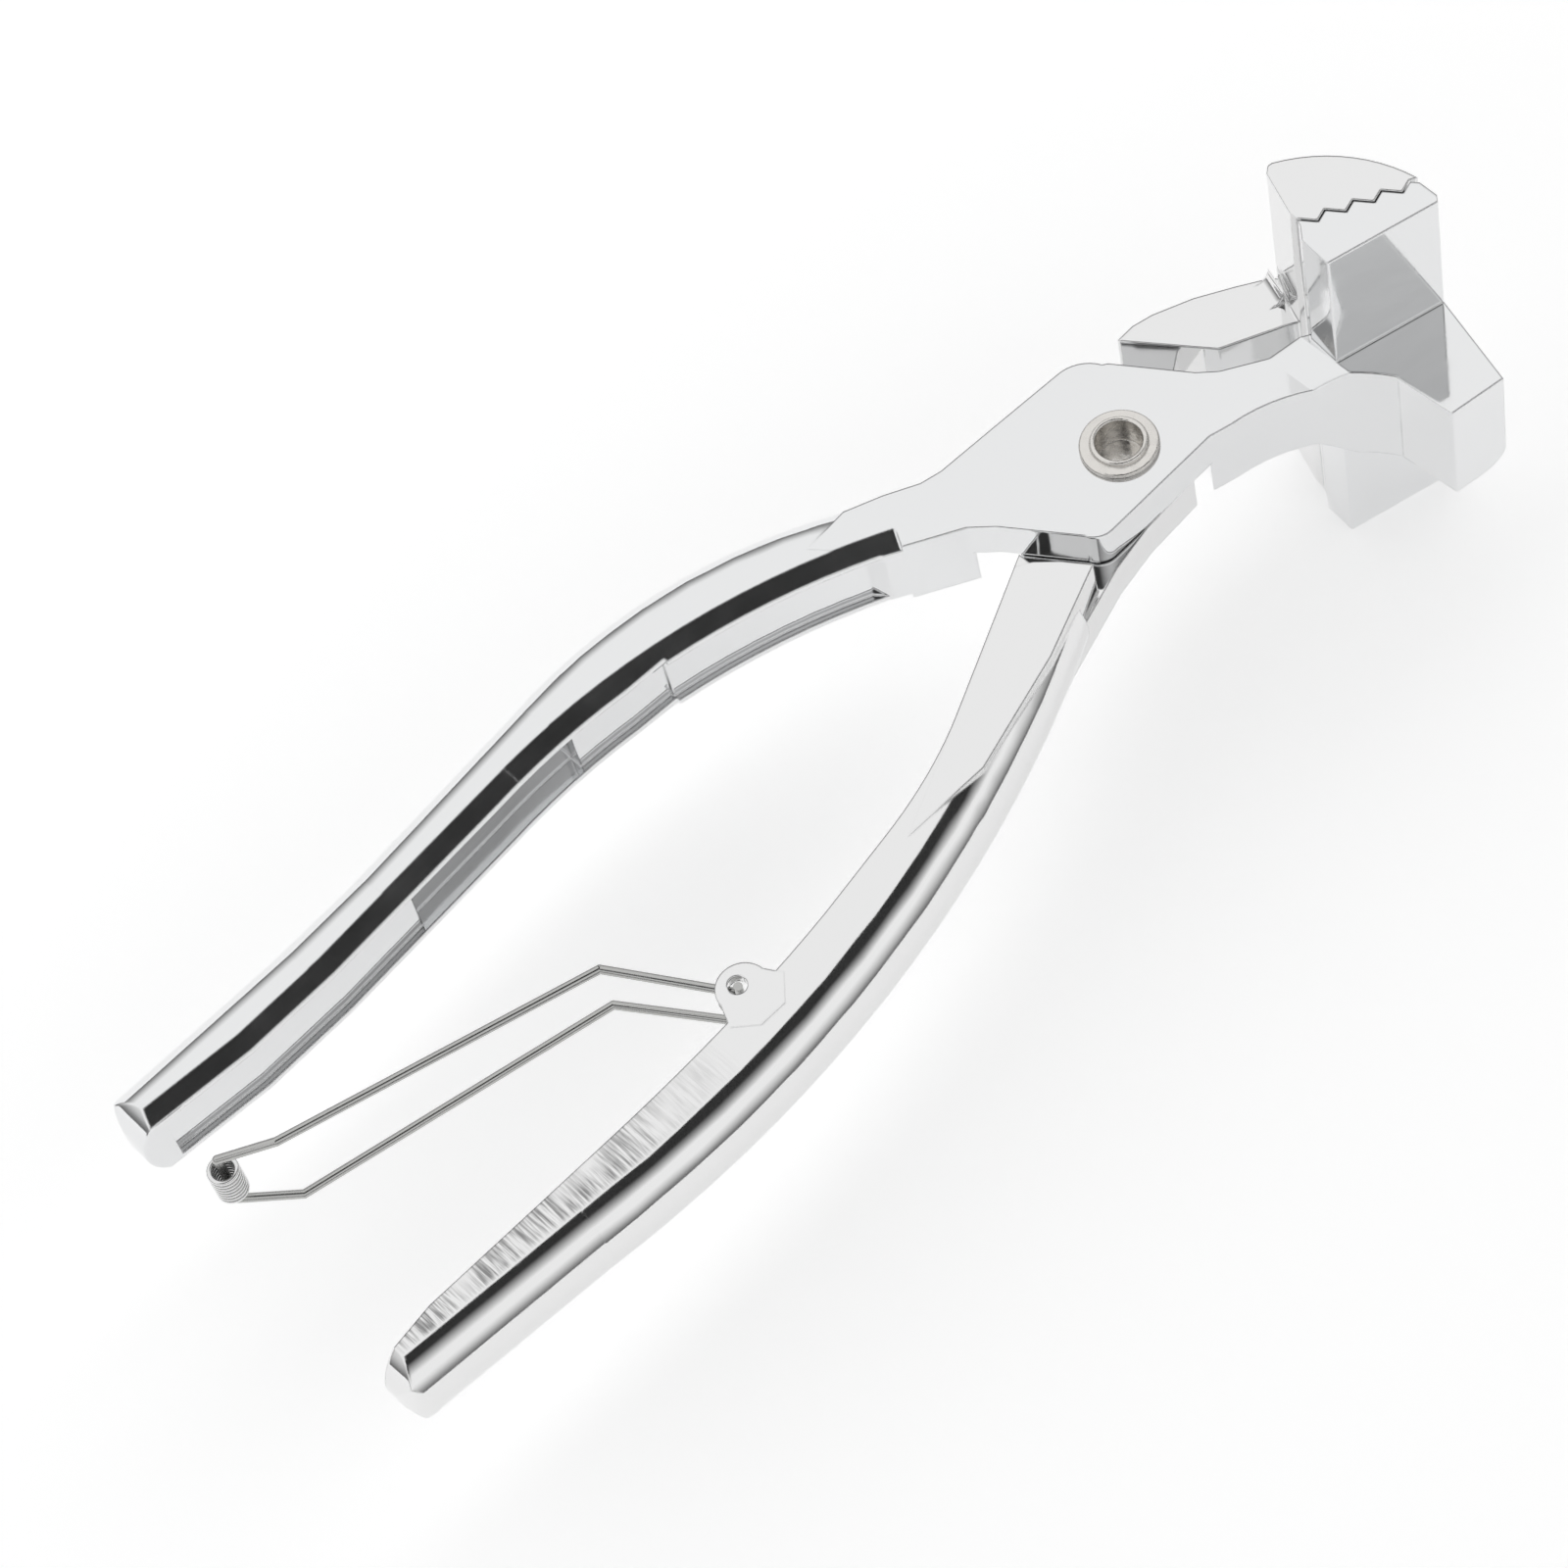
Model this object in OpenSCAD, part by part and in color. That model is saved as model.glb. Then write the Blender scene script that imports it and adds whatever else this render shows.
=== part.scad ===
// Canvas-stretching pliers: two cast levers on a hollow rivet, wide toothed jaws with a
// hammer nose, and a wire bail with a coil roller that swings on the lower handle.
// Origin: centre of the closed tooth row, half way across the jaws.
// +X runs from the handle ends toward the jaws, +Z along the rivet.

/* [Pivot] */
// Distance from the grip centre back to the rivet, along X
pivot_back = 35; // [34:0.5:36]
// Height of the rivet above the grip centre, along Y
pivot_rise = 10.5; // [10:0.5:11]
// Rivet shank diameter
shank_d = 8; // [6:0.5:9]
// Radial running clearance of the shank in the moving lever
shank_play = 0.05; // [0.02:0.01:0.1]
// Outer diameter of the rolled rivet rim
rim_d = 10.4; // [9.6:0.2:12]
// Height of the rolled rim above the lever face
rim_h = 1.4; // [0.8:0.1:2]
// Diameter of the blind hole in the rivet
rivet_hole_d = 6.1; // [4:0.1:6.2]
// Depth of the blind hole below the rim
rivet_hole_deep = 4.5; // [2:0.5:8]
// Diameter of the factory head on the back
head_d = 11; // [9.6:0.2:13]
// Thickness of the factory head
head_h = 1.6; // [1:0.1:2.5]

/* [Levers] */
// Thickness of the handles, and of the two lapped plates together
body_t = 12; // [11:0.5:13]
// Gap between the two lapped plates
lap_gap = 0.3; // [0.2:0.05:0.5]
// Thickness of the lip along each side of the handle groove
lip_t = 1.7; // [1.2:0.1:2.5]
// Depth of the groove in the open face of each handle
groove_deep = 1; // [0.6:0.1:1.8]
// Depth of the recess in the middle of the upper handle
recess_deep = 3; // [2:0.1:4]
// Length of the recess
recess_len = 29; // [15:1:32]
// Width of the slanted strip along the open edge of the upper handle
slant_w = 3; // [2.6:0.1:3.4]
// Drop of the slanted strip at the edge
slant_drop = 0.9; // [0.7:0.1:1.1]

/* [Jaws] */
// Width of the jaws
jaw_w = 60; // [45:1:90]
// Downward tilt of the tooth row
grip_tilt = 27.3; // [26.8:0.1:27.8]
// Pitch of the teeth
tooth_pitch = 3.7; // [3.6:0.02:3.8]
// Depth of the teeth
tooth_deep = 1.3; // [0.8:0.1:1.6]
// Gap between the closed teeth
tooth_gap = 0.3; // [0.2:0.05:0.5]
// Concave root radius where each arm meets its jaw
root_r = 2.5; // [1.5:0.5:4]

/* [Hammer nose] */
// Thickness of the nose, across the pliers
nose_t = 17.8; // [14:0.2:24]
// Radius of the rounded lower corner of the nose
nose_r = 4.5; // [2:0.5:6]

/* [Bail] */
// Wire diameter of the bail
wire_d = 1.2; // [1:0.1:1.4]
// Diameter of the hole in each ear
ear_hole_d = 2.5; // [1.6:0.1:2.8]
// Thickness of each ear
ear_t = 1.4; // [1.1:0.1:1.6]
// Outer radius of the ears
ear_r = 3.5; // [3.2:0.1:4]
// Half the distance between the legs at the ears
leg_half = 3.9; // [3.6:0.1:3.9]
// Half the distance between the legs at the wide lower bends
wide_half = 7.3; // [5.5:0.1:8]
// Half the length of the crossbar
bar_half = 5.4; // [4:0.1:5.6]

/* [Coil roller] */
// Wire diameter of the roller
coil_wire_d = 0.7; // [0.5:0.05:0.8]
// Outer diameter of the roller
coil_od = 4.2; // [3.4:0.1:4.4]
// Number of turns
coil_turns = 8; // [5:1:8]

/* [Hidden] */
half_t = body_t / 2;
half_gap = lap_gap / 2;
e = 0.01;
groove_w = body_t - 2 * lip_t;
rivet_hole_r = rivet_hole_d / 2;
rivet_top = half_t + rim_h;
// Every point below is measured from the rivet axis.
grip = [pivot_back, -pivot_rise];
grip_dir = [cos(grip_tilt), -sin(grip_tilt)];
grip_up = [sin(grip_tilt), cos(grip_tilt)];
// Share of a pitch taken by the rising flank of a tooth
tooth_rise = 0.37;
// Distance from the grip centre back to the first tooth
tooth_start = 5.6;
// Upper handle: outer edge, open edge and its straight run
a_out_c = [-68, -41.5];
a_out_r = 75;
a_in_c = [-78, -82];
a_in_r = 105;
a_open = [[-84, 22.8], [-118, 20.4], [-132, 20.2], [-152, 21.8]];
a_end_c = [-144, 24.2];
// Angle at which a straight bar crosses the end of a bent one
cross = 2;
a_from = 52;
a_turn = 43.2;
a_head = a_from + a_turn;
a_run = 30;
a_run2 = 13;
a_run3 = 36;
a_kink = 2.8;
// Each straight length starts this far back inside the one before
a_back = 2.6;
a_back2 = 1;
a_p1 = on_arc(a_out_c, a_out_r, a_head + cross);
a_p2 = on_arc(a_p1, a_run, a_head + 90);
a_p3 = on_arc(a_p2, a_run2, a_head + 90 - a_kink);
recess_end = 75;
bar_deep = 12;
slant_from = 62;
slant_turn = 31.5;
slant_slack = 0.4;
// Lower handle: outer edge and open edge
b_out_c = [-100.5, 145];
b_out_r = 177.5;
b_from = 265.7;
b_turn = 40;
b_run = 40;
b_back = 6.2;
b_bend = [-50.2, -16.2];
b_flat = [-90, -22.4];
b_end_c = [-143.7, -24];
a_end_r = 5.7;
b_end_r = 6;
end_x = 149.7;
end_face_r = 7;
// The bars lie this far under the faces of the plates
skin = 0.02;
head_gap = 0.05;
head_edge = 0.8;
// Lips of the rolled rim
rim_lip = 0.4;
rim_lip_r = 3.8;
// Thickness of the web that joins the turns of the roller
coil_web = 0.3;
// Extra spread of the bail legs at the first bends
knee_spread = 0.8;
// Bail hinge and bends
b_p1 = on_arc(b_out_c, b_out_r, b_from - cross);
ear = [-86.2, -18.9];
knee = [-95.6, -3.9];
wide = [-138.4, 7.3];
bar = [-144.6, 12];
coil_len = coil_wire_d * coil_turns;
coil_mid_r = (coil_od - coil_wire_d) / 2;

// ---------- shared shapes ----------

// Smooth bend from a to c with its corner at b.
function bend(a, b, c, n) =
  [for (i = [0:n]) let (t = i / n) (1 - t) * (1 - t) * a + 2 * t * (1 - t) * b + t * t * c];

// Handle section: half-round back at radius r, then flat toward the open edge.
// Each length k of a bar is slightly slimmer than the one it grows out of.
module bar_section(r, k) {
  h = half_t - (k + 1) * skin;
  translate([r - k * skin - h, 0])
    intersection() {
      union() {
        circle(r = h, $fn = 96);
        translate([h - bar_deep, -h])
          square([bar_deep - h, 2 * h]);
      }
      translate([h - bar_deep, -h])
        square([bar_deep, 2 * h]);
    }
}

// Handle bar bent around the point c, from angle a0 over the angle sweep.
module bar_arc(c, a0, sweep) {
  translate([c.x, c.y, 0])
    rotate([0, 0, a0])
      rotate_extrude(angle = sweep, $fn = 180)
        children();
}

// Point on the circle around c.
function on_arc(c, r, a) = c + r * [cos(a), sin(a)];

// Straight handle bar through p along heading a, from back before p to len past it;
// its open side is to the left of the heading for side = 1, else to the right.
module bar_run(p, a, back, len, side) {
  translate([p.x, p.y, 0])
    rotate([0, 0, a])
      mirror([0, side > 0 ? 1 : 0, 0])
        translate([-back, 0, 0])
          rotate([90, 0, 90])
            linear_extrude(back + len)
              children();
}

// Sawtooth line of the grip, moved by shift along the normal of the row.
function tooth_at(i, shift) =
  let (k = floor(i / 2))
  let (s = (i % 2 == 0 ? k : k + tooth_rise) * tooth_pitch)
  let (h = (i % 2 == 0 ? -0.5 : 0.5) * tooth_deep + shift)
  grip + (s - tooth_start) * grip_dir + h * grip_up;
function tooth_line(shift) = [for (i = [-1:7]) tooth_at(i, shift)];

// Concave root along the wall from p, heading a, standing on the arm face.
module root_fillet(p, a, len) {
  for (m = [0, 1])
    mirror([0, 0, m])
      translate([p.x, p.y, half_t - e])
        rotate([0, 0, a])
          difference() {
            translate([-e, 0, 0])
              cube([len + e, root_r, root_r]);
            translate([-1, root_r, root_r])
              rotate([0, 90, 0])
                cylinder(r = root_r, h = len + 2, $fn = 64);
          }
}

// ---------- lever with the near plate, upper handle, lower jaw and nose ----------

module a_cut(deep) {
  translate(a_in_c)
    circle(r = a_in_r + deep, $fn = 180);
  translate([0, deep])
    polygon(concat([[-60, 0], [-60, 22], [-78, 23]], a_open, [[-152, 0]]));
}

module a_handle() {
  difference() {
    intersection() {
      union() {
        bar_arc(a_out_c, a_from, a_turn + cross)
          bar_section(a_out_r, 0);
        bar_run(a_p1, a_head + 90, a_back, a_run, 1)
          bar_section(0, 1);
        bar_run(a_p2, a_head + 90 - a_kink, a_back2, a_run2, 1)
          bar_section(0, 2);
        bar_run(a_p3, a_head + 90 - 2 * a_kink, a_back2, a_run3, 1)
          bar_section(0, 3);
      }
      a_end();
      round_end();
    }
    linear_extrude(2 * body_t, center = true)
      a_cut(0);
    a_groove();
  }
}

// Rounds the handle end from face to face.
module round_end() {
  rotate([90, 0, 0])
    linear_extrude(100, center = true)
      union() {
        translate([-end_x + end_face_r, 0])
          circle(r = end_face_r, $fn = 96);
        translate([-end_x + end_face_r, -body_t])
          square([end_x, 2 * body_t]);
      }
}

// Cross-section of the cut that slants the face along the open edge.
module slant_section() {
  low = half_t - slant_drop - slant_drop / slant_w;
  polygon([[-1, low], [slant_w, half_t], [slant_w, half_t + 1], [-1, half_t + 1]]);
}

// Slant cut along the open edge from p to q.
module slant_run(p, q) {
  v = q - p;
  translate([p.x, p.y, 0])
    rotate([0, 0, atan2(v.y, v.x)])
      mirror([0, 1, 0])
        translate([-slant_slack, 0, 0])
          rotate([90, 0, 90])
            linear_extrude(norm(v) + 2 * slant_slack)
              slant_section();
}

// Slanted strips along the whole open edge, on both faces.
module a_slant() {
  for (m = [0, 1])
    mirror([0, 0, m]) {
      translate([a_in_c.x, a_in_c.y, 0])
        rotate([0, 0, slant_from])
          rotate_extrude(angle = slant_turn, $fn = 180)
            translate([a_in_r, 0])
              slant_section();
      for (i = [0:2])
        slant_run(a_open[i], a_open[i + 1]);
    }
}

// Plan limit of the upper handle, with its rounded end.
module a_end() {
  linear_extrude(2 * body_t, center = true)
    union() {
      translate([a_end_c.x, 10])
        square([end_x, 40]);
      translate([-end_x, 10])
        square([end_x, a_end_c.y - 10]);
      translate(a_end_c)
        circle(r = a_end_r, $fn = 72);
    }
}

module a_groove() {
  linear_extrude(groove_w, center = true)
    intersection() {
      a_cut(groove_deep);
      translate([-145.5, 0])
        square([123.5, 40]);
    }
  linear_extrude(groove_w, center = true)
    intersection() {
      a_cut(recess_deep);
      translate([-recess_end - recess_len, 0])
        square([recess_len, 40]);
    }
}

// Upper-layer outline of the near plate, from the handle to the arm.
module near_plate() {
  polygon([
    [-37, 19.5], [-31, 11.7], [-21.5, 6.2], [-18.9, 3.4], [-12.4, -6.4], [-9.7, -8.2], [9, -7.8],
    [20, -10.6], [24, -7], [16.5, -1.8], [14.4, 0.4], [8.2, 10], [2.6, 13.8],
    [-9, 14.4], [-17.5, 14.8], [-20.5, 15.5], [-25, 17.9], [-30, 20]
  ]);
  translate([2.6, 8.4])
    circle(r = 5.4, $fn = 64);
  translate([-9.8, -5.2])
    circle(r = 3, $fn = 48);
}

// Arm and nose outline, from the front shoulder to the tip of the nose.
module a_arm_outline() {
  difference() {
    polygon([
      [8, -7.7], [13.7, 0.9], [16.5, -1.8], [26.5, -8.2], [41.4, -15.5],
      [41.4, -17.3], [37.2, -31.5], [29.2, -30.2], [28.8, -21.4], [16.4, -10]
    ]);
    intersection() {
      translate([8, -31.8])
        circle(r = 23.4, $fn = 180);
      translate([8, -21.3])
        square([25, 15]);
    }
  }
}

// Side outline of the arm: handle thickness, then the thicker nose.
module a_arm_side() {
  n = nose_t / 2;
  polygon([
    [7, -half_t], [22, -half_t], [25.5, -n], [50, -n], [50, n], [25.5, n],
    [22, half_t], [7, half_t]
  ]);
}

// Full-thickness root of the upper handle, behind the shoulder of the far plate.
module a_root() {
  polygon([
    [-37, 19.5], [-31, 11.7], [-21, 5.9], [-16.6, 12], [-17.5, 14.8], [-20.5, 15.5],
    [-25, 17.9], [-30, 20]
  ]);
}

module a_jaw_outline() {
  polygon(concat(
    tooth_line(-tooth_gap / 2),
    [[42, -14.2], [41.9, -17.1], [41.2, -17.9], [25.7, -13.8], [26.3, -9], [27.8, -7.3]]
  ));
}

module lever_a() {
  color([0.85, 0.86, 0.87])
    translate([-pivot_back, pivot_rise, 0])
      difference() {
        union() {
          a_handle();
          translate([0, 0, half_gap])
            linear_extrude(half_t - half_gap)
              near_plate();
          // handle root below the near plate, behind its rear shoulder
          linear_extrude(body_t, center = true)
            a_root();
          intersection() {
            linear_extrude(2 * nose_t, center = true)
              a_arm_outline();
            translate([0, 20, 0])
              rotate([90, 0, 0])
                linear_extrude(60)
                  a_arm_side();
          }
          linear_extrude(jaw_w, center = true)
            a_jaw_outline();
          root_fillet([27.2, -8.6], 255, 4.6);
        }
        nose_corner();
        a_slant();
        cylinder(d = shank_d, h = 3 * body_t, center = true, $fn = 96);
      }
}

// Rounds the lower corner of the nose on the mouth side.
module nose_corner() {
  translate([41.8, -17.2, -nose_t / 2])
    rotate([0, 0, -105.6])
      rotate([90, 0, 90])
        linear_extrude(16)
          difference() {
            translate([-nose_r, -1])
              square([nose_r + 3, nose_r + 1]);
            translate([-nose_r, nose_r])
              circle(r = nose_r, $fn = 64);
          }
}

// ---------- lever with the far plate, lower handle, upper jaw and ears ----------

module b_cut(deep) {
  translate([0, -deep])
    polygon(concat(
      [[-16, 8], [-20, -1.7]],
      bend([-42, -12.3], b_bend, [-60, -17.8], 10),
      bend([-72, -19.8], b_flat, [-112, -22.2], 10),
      [[-140, -22], [-152, -23.6], [-152, 8]]
    ));
}

module b_handle() {
  difference() {
    intersection() {
      union() {
        bar_arc(b_out_c, b_from - cross, b_turn)
          bar_section(b_out_r, 0);
        bar_run(b_p1, b_from - 90, b_back, b_run, -1)
          bar_section(0, 1);
      }
      b_end();
      round_end();
    }
    linear_extrude(2 * body_t, center = true)
      b_cut(0);
    linear_extrude(groove_w, center = true)
      intersection() {
        b_cut(groove_deep);
        translate([-145.5, -40])
          square([108, 40]);
      }
  }
}

// Plan limit of the lower handle, with its rounded end.
module b_end() {
  linear_extrude(2 * body_t, center = true)
    union() {
      translate([b_end_c.x, -50])
        square([-b_end_c.x - 20, 60]);
      translate([-end_x, b_end_c.y])
        square([b_end_r + 1, 20]);
      translate(b_end_c)
        circle(r = b_end_r, $fn = 72);
    }
}

// Lower-layer outline of the far plate.
module far_plate() {
  polygon([
    [-24, -6], [-20.5, -3.4], [-11.6, 10.4], [-9, 11.6], [12, 11.6], [15.5, 6],
    [12.6, 4], [5, -7.6], [-4, -8.2], [-11, -9.5], [-24, -13.6]
  ]);
}

// Full-thickness root of the lower handle, behind the upper-layer shoulder.
module b_root() {
  polygon([
    [-58, -20], [-30, -6.8], [-21.8, -2.6], [-19.7, -3.7], [-17.3, -6.4], [-15, -9.9],
    [-21.8, -12.7], [-28.1, -15.3], [-35, -17.3], [-45, -20.2]
  ]);
}

module b_arm_outline() {
  polygon([
    [11.6, 11.5], [14.4, 11.6], [17.3, 10.9], [22.6, 8.6], [27.4, 5.7], [31.5, 3], [33, 0],
    [29, -4.6], [27, -3.4], [19, 0.6]
  ]);
}

module b_jaw_outline() {
  intersection() {
    polygon(concat(
      tooth_line(tooth_gap / 2),
      [[42.6, -13.6], [46, 8], [40, 8], [33.5, 1.9], [32, 2.1], [31, 1.4], [28.4, -4.9]]
    ));
    translate([21.7, -15.7])
      circle(r = 20.8, $fn = 180);
  }
}

// Pair of ears that carry the bail.
module ears() {
  difference() {
    union() {
      translate([ear.x + 0.2, ear.y - 0.8])
        circle(r = ear_r, $fn = 72);
      polygon([
        [-81.2, -21.9], [-82.6, -19.4], [-89.5, -19.4], [-90.8, -22.4],
        [-88, -25], [-84, -25]
      ]);
    }
    translate(ear)
      circle(d = ear_hole_d, $fn = 48);
  }
}

module lever_b() {
  color([0.85, 0.86, 0.87])
    translate([-pivot_back, pivot_rise, 0])
      difference() {
        union() {
          b_handle();
          translate([0, 0, -half_t])
            linear_extrude(half_t - half_gap)
              far_plate();
          linear_extrude(body_t, center = true)
            b_root();
          linear_extrude(body_t, center = true)
            b_arm_outline();
          linear_extrude(jaw_w, center = true)
            b_jaw_outline();
          root_fillet([29.7, -0.9], 71.5, 4.2);
          for (m = [0, 1])
            mirror([0, 0, m])
              translate([0, 0, half_t - ear_t])
                linear_extrude(ear_t)
                  ears();
        }
        cylinder(d = shank_d + 2 * shank_play, h = 3 * body_t, center = true, $fn = 96);
      }
}

// ---------- rivet ----------

module pivot_rivet() {
  color([0.72, 0.73, 0.74])
    translate([-pivot_back, pivot_rise, 0])
      difference() {
        union() {
          cylinder(d = shank_d, h = 2 * half_t, center = true, $fn = 96);
          translate([0, 0, half_t])
            rotate_extrude($fn = 96)
              rim_section();
          translate([0, 0, -half_t - head_gap - head_h])
            cylinder(d1 = head_d - 2 * head_edge, d2 = head_d, h = head_h, $fn = 96);
          translate([0, 0, -half_t - 1])
            cylinder(d = shank_d, h = 2, $fn = 96);
        }
        translate([0, 0, rivet_top - rivet_hole_deep])
          cylinder(r = rivet_hole_r, h = rivet_hole_deep + 1, $fn = 96);
      }
}

// Rolled rim: a flat flange with a raised lip around the hole.
module rim_section() {
  r = rim_d / 2;
  square([r - rim_lip, 2 * rim_lip]);
  translate([r - rim_lip, rim_lip])
    circle(r = rim_lip, $fn = 32);
  square([rim_lip_r, rim_h - rim_lip]);
  translate([rim_lip_r - rim_lip, rim_h - rim_lip])
    circle(r = rim_lip, $fn = 32);
}

// ---------- bail ----------

module rod(p, q) {
  v = q - p;
  len = norm(v);
  translate(p)
    rotate([0, acos(v.z / len), atan2(v.y, v.x)])
      cylinder(d = wire_d, h = len, $fn = 32);
}

module bead(p) {
  translate(p)
    sphere(d = wire_d + skin, $fn = 32);
}

module bail_wire() {
  knee_half = leg_half + knee_spread;
  color([0.6, 0.61, 0.62])
    translate([-pivot_back, pivot_rise, 0]) {
      for (m = [0, 1])
        mirror([0, 0, m]) {
          rod([ear.x, ear.y, leg_half], [ear.x, ear.y, half_t - 0.3]);
          bead([ear.x, ear.y, leg_half]);
          rod([ear.x, ear.y, leg_half], [knee.x, knee.y, knee_half]);
          bead([knee.x, knee.y, knee_half]);
          rod([knee.x, knee.y, knee_half], [wide.x, wide.y, wide_half]);
          bead([wide.x, wide.y, wide_half]);
          rod([wide.x, wide.y, wide_half], [bar.x, bar.y, bar_half]);
          bead([bar.x, bar.y, bar_half]);
        }
      rod([bar.x, bar.y, -bar_half], [bar.x, bar.y, bar_half]);
    }
}

// ---------- coil roller ----------

module coil_roller() {
  color([0.6, 0.61, 0.62])
    translate([bar.x - pivot_back, bar.y + pivot_rise, 0])
      rotate_extrude($fn = 64) {
        for (i = [0:coil_turns - 1])
          translate([coil_mid_r, (i + 0.5) * coil_wire_d - coil_len / 2])
            circle(d = coil_wire_d, $fn = 32);
        translate([coil_mid_r - coil_web / 2, -coil_len / 2 + coil_wire_d / 2])
          square([coil_web, coil_len - coil_wire_d]);
      }
}

lever_a();
lever_b();
pivot_rivet();
bail_wire();
coil_roller();
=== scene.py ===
import math

import bpy
from mathutils import Matrix, Vector

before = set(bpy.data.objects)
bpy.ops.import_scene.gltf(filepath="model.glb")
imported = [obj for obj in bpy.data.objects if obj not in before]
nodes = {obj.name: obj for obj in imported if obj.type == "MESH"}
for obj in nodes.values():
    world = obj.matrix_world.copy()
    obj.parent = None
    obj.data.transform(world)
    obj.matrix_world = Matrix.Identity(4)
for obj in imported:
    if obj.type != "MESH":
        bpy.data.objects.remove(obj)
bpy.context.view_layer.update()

# Lengths in metres, angles in degrees; noise scales count features per metre.
EDGE_RADIUS = 0.0005
RIVET_EDGE_RADIUS = 0.0003
CREASE_ANGLE = 16.0
WELD_GAP = 0.000002
# reach of the painted shade between the coil's turns
GAP_SHADE_REACH = 0.0004
BRUSHED_START = -0.128
BRUSHED_FADE = 0.02
CHROME_GREY = 0.805
FLOOR_SIZE = 6.0
FLOOR_Z = -0.0302
FLOOR_GLOW = 0.34
FLAG_SIZE = (2.6, 1.1)
FLAG_AT = (0.1, -0.49, 1.15)
HORIZON_GREY = 0.12

# ---------------------------------------------------------------- node helpers


class Nodes:
    """Short hand for building a material's node tree."""

    def __init__(self, name):
        self.mat = bpy.data.materials.new(name)
        self.mat.use_nodes = True
        self.tree = self.mat.node_tree
        self.tree.nodes.clear()
        out = self.tree.nodes.new("ShaderNodeOutputMaterial")
        self.bsdf = self.tree.nodes.new("ShaderNodeBsdfPrincipled")
        self.tree.links.new(self.bsdf.outputs[0], out.inputs["Surface"])
        coord = self.tree.nodes.new("ShaderNodeTexCoord")
        self.obj = coord.outputs["Object"]

    def new(self, kind, **props):
        n = self.tree.nodes.new(kind)
        for k, v in props.items():
            setattr(n, k, v)
        return n

    def link(self, a, b):
        self.tree.links.new(a, b)

    def scaled(self, x, y, z):
        m = self.new("ShaderNodeMapping")
        m.inputs["Scale"].default_value = (x, y, z)
        self.link(self.obj, m.inputs["Vector"])
        return m.outputs[0]

    def noise(self, vector, scale, detail=2.0, rough=0.5):
        n = self.new("ShaderNodeTexNoise")
        n.inputs["Scale"].default_value = scale
        n.inputs["Detail"].default_value = detail
        n.inputs["Roughness"].default_value = rough
        self.link(vector, n.inputs["Vector"])
        return n.outputs["Fac"]

    def ramp(self, value, lo, hi, to_lo=0.0, to_hi=1.0):
        n = self.new("ShaderNodeMapRange")
        n.inputs["From Min"].default_value = lo
        n.inputs["From Max"].default_value = hi
        n.inputs["To Min"].default_value = to_lo
        n.inputs["To Max"].default_value = to_hi
        self.link(value, n.inputs["Value"])
        return n.outputs[0]

    def maths(self, op, a, b):
        n = self.new("ShaderNodeMath", operation=op)
        for i, v in enumerate((a, b)):
            if isinstance(v, (int, float)):
                n.inputs[i].default_value = v
            else:
                self.link(v, n.inputs[i])
        return n.outputs[0]

    def bump(self, height, strength, distance, normal=None):
        n = self.new("ShaderNodeBump")
        n.inputs["Strength"].default_value = strength
        n.inputs["Distance"].default_value = distance
        self.link(height, n.inputs["Height"])
        if normal is not None:
            self.link(normal, n.inputs["Normal"])
        return n.outputs[0]

    def bevel(self, radius):
        n = self.new("ShaderNodeBevel", samples=8)
        n.inputs["Radius"].default_value = radius
        return n.outputs[0]

    def set(self, name, value):
        s = self.bsdf.inputs[name]
        if isinstance(value, (int, float, tuple)):
            s.default_value = value
        else:
            self.link(value, s)


def chrome(name, brushed_from=None):
    """Bright plate over a hand-polished casting: slow waves, a fine ripple and faint pits."""
    m = Nodes(name)
    m.set("Metallic", 1.0)
    m.set("Base Color", (0.80, 0.805, 0.81, 1.0))
    m.set("Roughness", m.ramp(m.noise(m.obj, 220.0, 4.0), 0.35, 0.75, 0.05, 0.11))
    edge = m.bevel(EDGE_RADIUS)
    waves = m.bump(m.noise(m.obj, 70.0, 1.0), 0.06, 0.0006, edge)
    ripple = m.bump(m.noise(m.scaled(0.35, 1.0, 1.0), 420.0, 1.0), 0.03, 0.0002, waves)
    pits = m.bump(m.noise(m.obj, 2600.0, 2.0), 0.02, 0.00006, ripple)
    m.set("Normal", pits)
    if brushed_from is not None:
        # grinding marks across the flat of the lower handle, fading in toward its end
        pos = m.new("ShaderNodeSeparateXYZ")
        m.link(m.obj, pos.inputs[0])
        geo = m.new("ShaderNodeNewGeometry")
        nrm = m.new("ShaderNodeSeparateXYZ")
        m.link(geo.outputs["Normal"], nrm.inputs[0])
        area = m.ramp(pos.outputs["X"], brushed_from, brushed_from - BRUSHED_FADE)
        flat = m.ramp(nrm.outputs["Z"], 0.985, 0.999)
        patchy = m.ramp(m.noise(m.obj, 150.0, 2.0), 0.3, 0.55)
        mask = m.maths("MULTIPLY", m.maths("MULTIPLY", area, flat), patchy)
        lines = m.ramp(m.noise(m.scaled(1.0, 0.07, 0.07), 2600.0, 3.0), 0.38, 0.62)
        marks = m.maths("MULTIPLY", lines, mask)
        m.set("Normal", m.bump(marks, 0.3, 0.00005, pits))
        m.set("Base Color", m.ramp(marks, 0.0, 1.0, CHROME_GREY, 0.26))
    return m.mat


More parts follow.
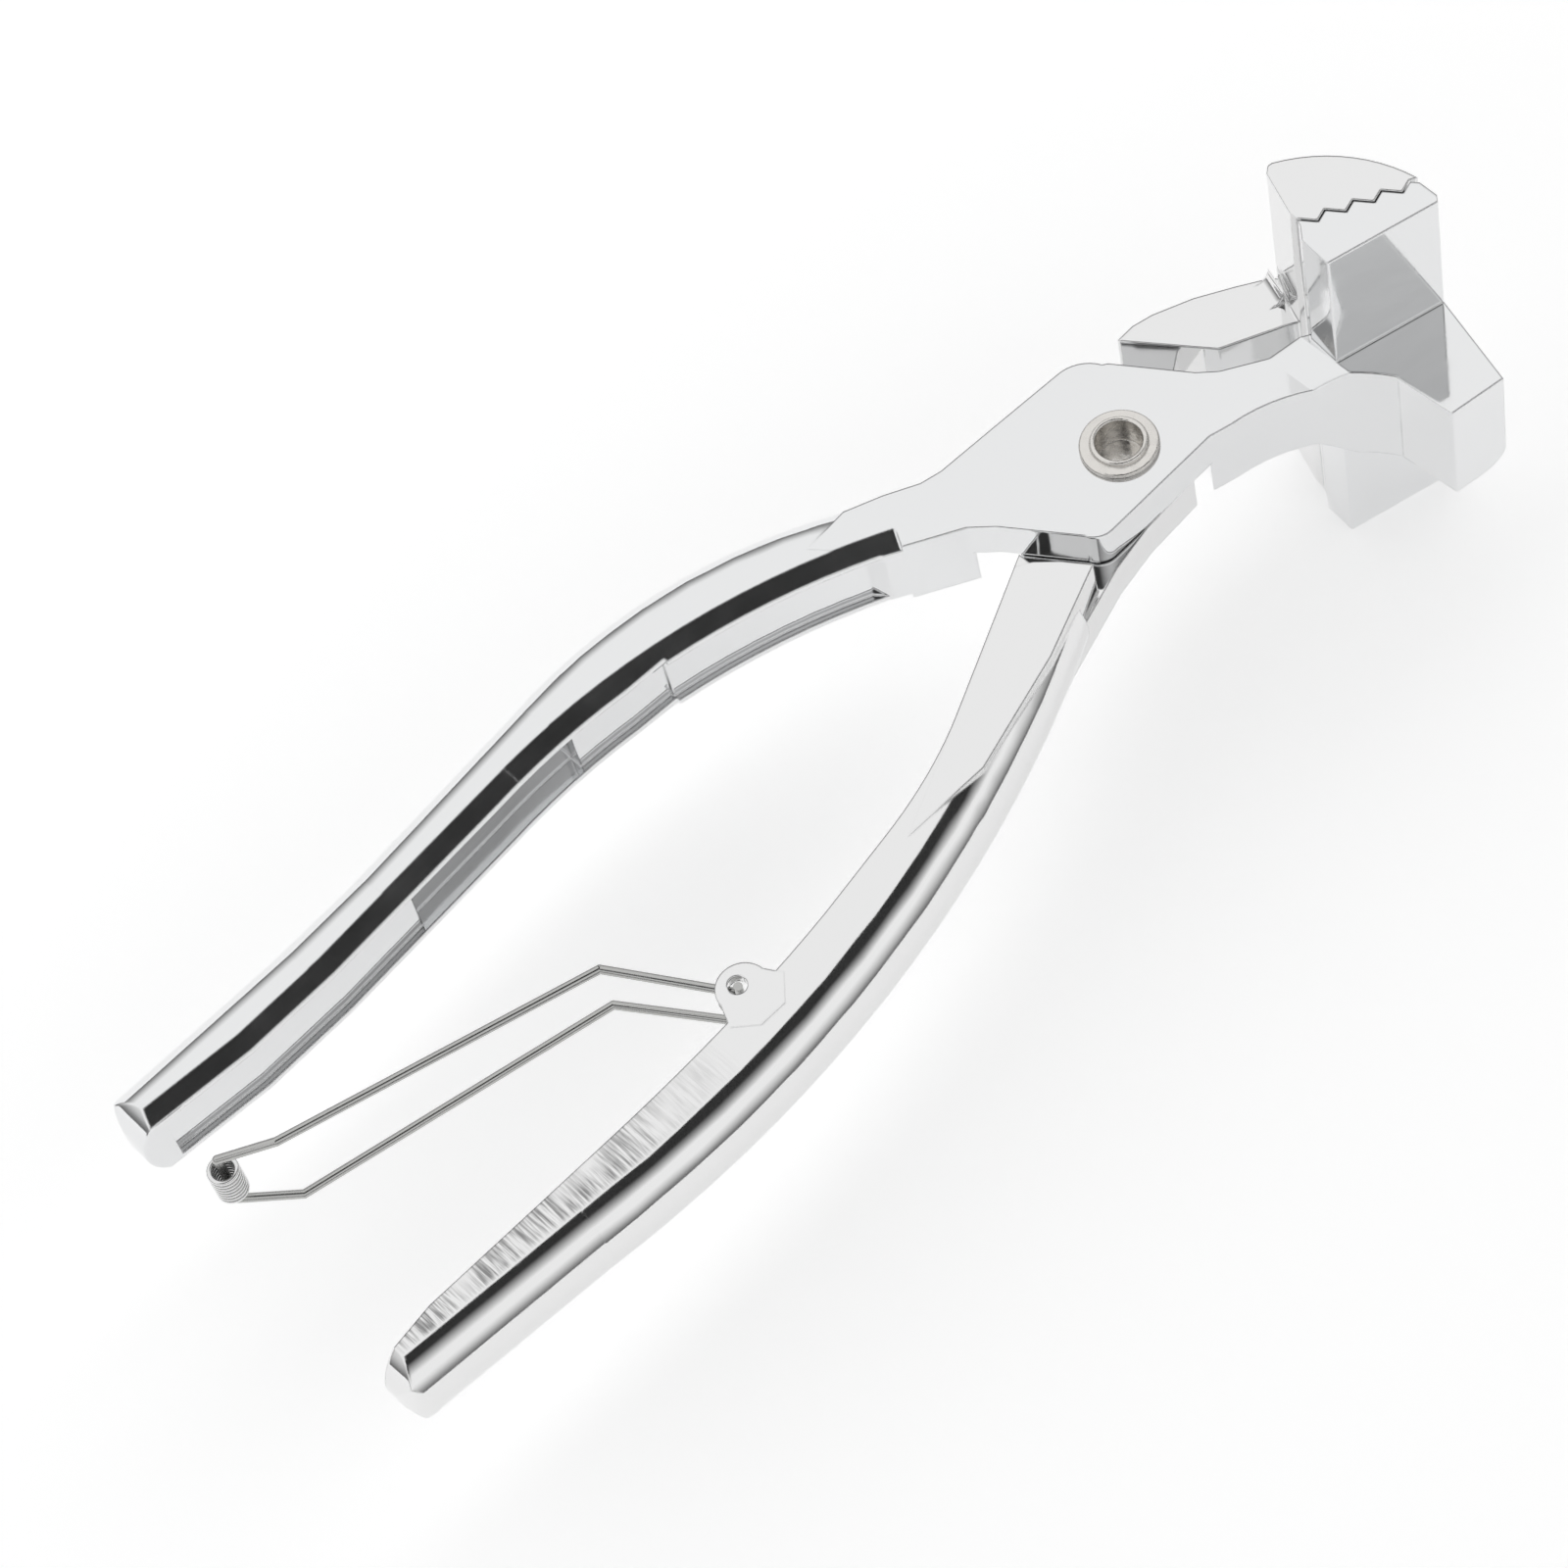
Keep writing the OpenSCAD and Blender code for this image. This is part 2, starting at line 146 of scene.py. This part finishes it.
def nickel(name):
    """Duller plate of the rivet, with small dents from the setting tool."""
    m = Nodes(name)
    m.set("Metallic", 1.0)
    m.set("Base Color", (0.72, 0.70, 0.67, 1.0))
    m.set("Roughness", m.ramp(m.noise(m.obj, 900.0, 4.0), 0.3, 0.7, 0.16, 0.34))
    edge = m.bevel(RIVET_EDGE_RADIUS)
    dents = m.bump(m.noise(m.obj, 900.0, 3.0), 0.5, 0.00015, edge)
    m.set("Normal", m.bump(m.noise(m.obj, 5200.0, 2.0), 0.2, 0.00004, dents))
    return m.mat


def wire(name, wound=False):
    """Drawn spring wire: grey steel with fine streaks along X; with wound set, painted shade darkens the
    colour between the wound turns.
    """
    m = Nodes(name)
    m.set("Metallic", 1.0)
    m.set("Base Color", (0.47, 0.47, 0.46, 1.0))
    if wound:
        # painted shade: ambient occlusion darkens the wire colour in the gaps between the wound turns
        gap_shade = m.new("ShaderNodeAmbientOcclusion", samples=8)
        gap_shade.inputs["Distance"].default_value = GAP_SHADE_REACH
        m.set("Base Color", m.ramp(gap_shade.outputs["AO"], 0.55, 0.95, 0.02, 0.75))
    m.set("Roughness", m.ramp(m.noise(m.obj, 1500.0, 3.0), 0.3, 0.7, 0.14, 0.24))
    m.set("Normal", m.bump(m.noise(m.scaled(0.1, 1.0, 1.0), 6000.0, 2.0), 0.05, 0.00003))
    return m.mat


def soften(ob):
    """Smooth shading between faces that meet at less than the crease angle; flats keep their own normal."""
    for poly in ob.data.polygons:
        poly.use_smooth = True
    weld = ob.modifiers.new("weld", "WELD")
    weld.merge_threshold = WELD_GAP
    creases = ob.modifiers.new("creases", "EDGE_SPLIT")
    creases.split_angle = math.radians(CREASE_ANGLE)
    flats = ob.modifiers.new("flats", "WEIGHTED_NORMAL")
    flats.weight = 100


def dress(ob, mat):
    ob.data.materials.clear()
    ob.data.materials.append(mat)


dress(nodes["lever_a"], chrome("chrome_plate"))
dress(nodes["lever_b"], chrome("chrome_plate_brushed", brushed_from=BRUSHED_START))
dress(nodes["pivot_rivet"], nickel("nickel_rivet"))
dress(nodes["bail_wire"], wire("spring_wire"))
# coil wire with painted shade between its turns
dress(nodes["coil_roller"], wire("wound_wire_gap_shade", wound=True))
for name in nodes:
    soften(nodes[name])

# ---------------------------------------------------------------- stage


def card(name, size_x, size_y, at, mat):
    bpy.ops.mesh.primitive_plane_add(size=1.0, location=at)
    ob = bpy.context.object
    ob.name = name
    ob.scale = (size_x, size_y, 1.0)
    ob.data.materials.append(mat)
    return ob


def paper(name, value, spread, glow):
    """Matt paper with a faint cloudiness, lit a little from within so that it stays pale."""
    m = Nodes(name)
    m.set("Roughness", 0.9)
    n = m.noise(m.obj, 40.0, 3.0)
    r = m.new("ShaderNodeValToRGB")
    r.color_ramp.elements[0].color = (value - spread, value - spread, value - spread, 1)
    r.color_ramp.elements[1].color = (value + spread, value + spread, value + spread, 1)
    m.link(n, r.inputs[0])
    m.link(r.outputs[0], m.bsdf.inputs["Base Color"])
    m.set("Emission Color", (1.0, 1.0, 1.0, 1.0))
    m.set("Emission Strength", glow)
    return m.mat


def flag(name):
    """Black cloth, dense along its far edge and thinning out toward the near one."""
    m = Nodes(name)
    m.set("Base Color", (0.01, 0.01, 0.01, 1.0))
    m.set("Roughness", 0.9)
    m.set("Emission Color", (1.0, 1.0, 1.0, 1.0))
    pos = m.new("ShaderNodeSeparateXYZ")
    m.link(m.obj, pos.inputs[0])
    fade = m.ramp(pos.outputs["Y"], 0.15, -0.5, 0.0, 0.95)
    weave = m.ramp(m.noise(m.obj, 60.0, 2.0), 0.3, 0.7, 0.0, 0.02)
    m.set("Emission Strength", m.maths("ADD", fade, weave))
    return m.mat


card("floor", FLOOR_SIZE, FLOOR_SIZE, (0, 0, FLOOR_Z), paper("floor_paper", 0.93, 0.01, FLOOR_GLOW))
card("overhead_flag", *FLAG_SIZE, FLAG_AT, flag("black_flag"))

world = bpy.data.worlds.new("studio")
bpy.context.scene.world = world
world.use_nodes = True
bg = world.node_tree.nodes["Background"]
bg.inputs["Strength"].default_value = 1.0
# a tent of soft light, dimmer toward the horizon
sky = world.node_tree.nodes.new("ShaderNodeTexCoord")
split = world.node_tree.nodes.new("ShaderNodeSeparateXYZ")
tent = world.node_tree.nodes.new("ShaderNodeValToRGB")
tent.color_ramp.elements[0].position = 0.0
tent.color_ramp.elements[0].color = (HORIZON_GREY, HORIZON_GREY, HORIZON_GREY, 1)
tent.color_ramp.elements[1].position = 0.5
tent.color_ramp.elements[1].color = (1, 1, 1, 1)
world.node_tree.links.new(sky.outputs["Generated"], split.inputs[0])
world.node_tree.links.new(split.outputs["Z"], tent.inputs[0])
world.node_tree.links.new(tent.outputs[0], bg.inputs["Color"])

# ---------------------------------------------------------------- camera
RIGHT = Vector((0.7099, -0.6885, -0.1486)).normalized()
UP = Vector((0.6545, 0.5669, 0.5003)).normalized()
BACK = RIGHT.cross(UP).normalized()
UP = BACK.cross(RIGHT).normalized()
cam_data = bpy.data.cameras.new("camera")
cam = bpy.data.objects.new("camera", cam_data)
bpy.context.scene.collection.objects.link(cam)
cam_data.lens = 112.7
cam_data.sensor_width = 36.0
cam_data.clip_start = 0.01
place = Matrix((RIGHT, UP, BACK)).transposed().to_4x4()
place.translation = Vector((-0.2553, -0.2662, 0.5220))
cam.matrix_world = place
bpy.context.scene.camera = cam

bpy.context.scene.view_settings.view_transform = "Standard"
